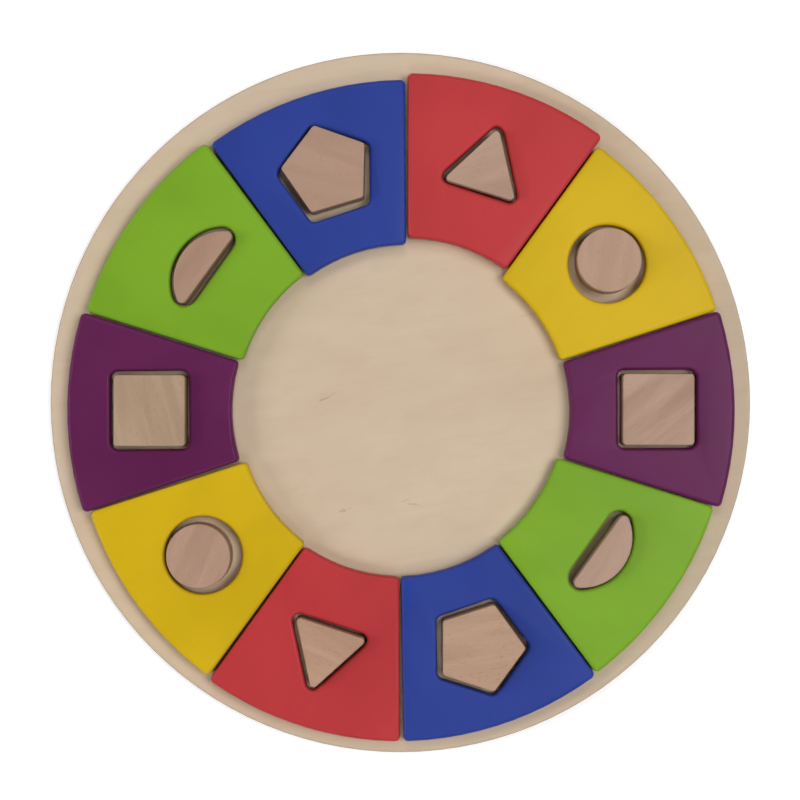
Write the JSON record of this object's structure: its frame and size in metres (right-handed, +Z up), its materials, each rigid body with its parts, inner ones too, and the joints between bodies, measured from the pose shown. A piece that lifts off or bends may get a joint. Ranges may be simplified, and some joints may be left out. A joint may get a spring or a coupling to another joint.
{
  "type": "shape sorting puzzle",
  "caption": "Round wooden shape puzzle: a plywood board with glued pegs of plain shapes, and painted ring segments whose cut-outs drop over the pegs and lift off.",
  "frame": {"origin": "centre of the board's underside", "axes": "+Z up out of the board; +X towards the right-hand purple segment; +Y towards the seam between the upper red and upper blue segments"},
  "size_m": [0.3, 0.3, 0.0178],
  "materials": {
    "plywood": "sanded pale plywood, thin clear coat",
    "beech": "bare sanded beech",
    "purple_paint": "satin purple paint over wood",
    "yellow_paint": "satin yellow paint over wood",
    "red_paint": "satin red paint over wood",
    "blue_paint": "satin blue paint over wood",
    "green_paint": "satin green paint over wood"
  },
  "bodies": {
    "board": {"base_board": "plywood", "square_peg_right": "beech", "circle_peg_right": "beech", "triangle_peg_top": "beech", "pentagon_peg_top": "beech", "half_round_peg_left": "beech", "square_peg_left": "beech", "circle_peg_left": "beech", "triangle_peg_bottom": "beech", "pentagon_peg_bottom": "beech", "half_round_peg_right": "beech"},
    "purple_segment_right": {"purple_segment_right": "purple_paint"},
    "yellow_segment_right": {"yellow_segment_right": "yellow_paint"},
    "red_segment_top": {"red_segment_top": "red_paint"},
    "blue_segment_top": {"blue_segment_top": "blue_paint"},
    "green_segment_left": {"green_segment_left": "green_paint"},
    "purple_segment_left": {"purple_segment_left": "purple_paint"},
    "yellow_segment_left": {"yellow_segment_left": "yellow_paint"},
    "red_segment_bottom": {"red_segment_bottom": "red_paint"},
    "blue_segment_bottom": {"blue_segment_bottom": "blue_paint"},
    "green_segment_right": {"green_segment_right": "green_paint"}
  },
  "joints": [
    {"name": "lift_purple_segment_right", "type": "slide", "parent": "board", "child": "purple_segment_right", "axis": [0, 0, 1], "range_m": [0, 0.03]},
    {"name": "lift_yellow_segment_right", "type": "slide", "parent": "board", "child": "yellow_segment_right", "axis": [0, 0, 1], "range_m": [0, 0.03]},
    {"name": "lift_red_segment_top", "type": "slide", "parent": "board", "child": "red_segment_top", "axis": [0, 0, 1], "range_m": [0, 0.03]},
    {"name": "lift_blue_segment_top", "type": "slide", "parent": "board", "child": "blue_segment_top", "axis": [0, 0, 1], "range_m": [0, 0.03]},
    {"name": "lift_green_segment_left", "type": "slide", "parent": "board", "child": "green_segment_left", "axis": [0, 0, 1], "range_m": [0, 0.03]},
    {"name": "lift_purple_segment_left", "type": "slide", "parent": "board", "child": "purple_segment_left", "axis": [0, 0, 1], "range_m": [0, 0.03]},
    {"name": "lift_yellow_segment_left", "type": "slide", "parent": "board", "child": "yellow_segment_left", "axis": [0, 0, 1], "range_m": [0, 0.03]},
    {"name": "lift_red_segment_bottom", "type": "slide", "parent": "board", "child": "red_segment_bottom", "axis": [0, 0, 1], "range_m": [0, 0.03]},
    {"name": "lift_blue_segment_bottom", "type": "slide", "parent": "board", "child": "blue_segment_bottom", "axis": [0, 0, 1], "range_m": [0, 0.03]},
    {"name": "lift_green_segment_right", "type": "slide", "parent": "board", "child": "green_segment_right", "axis": [0, 0, 1], "range_m": [0, 0.03]}
  ]
}
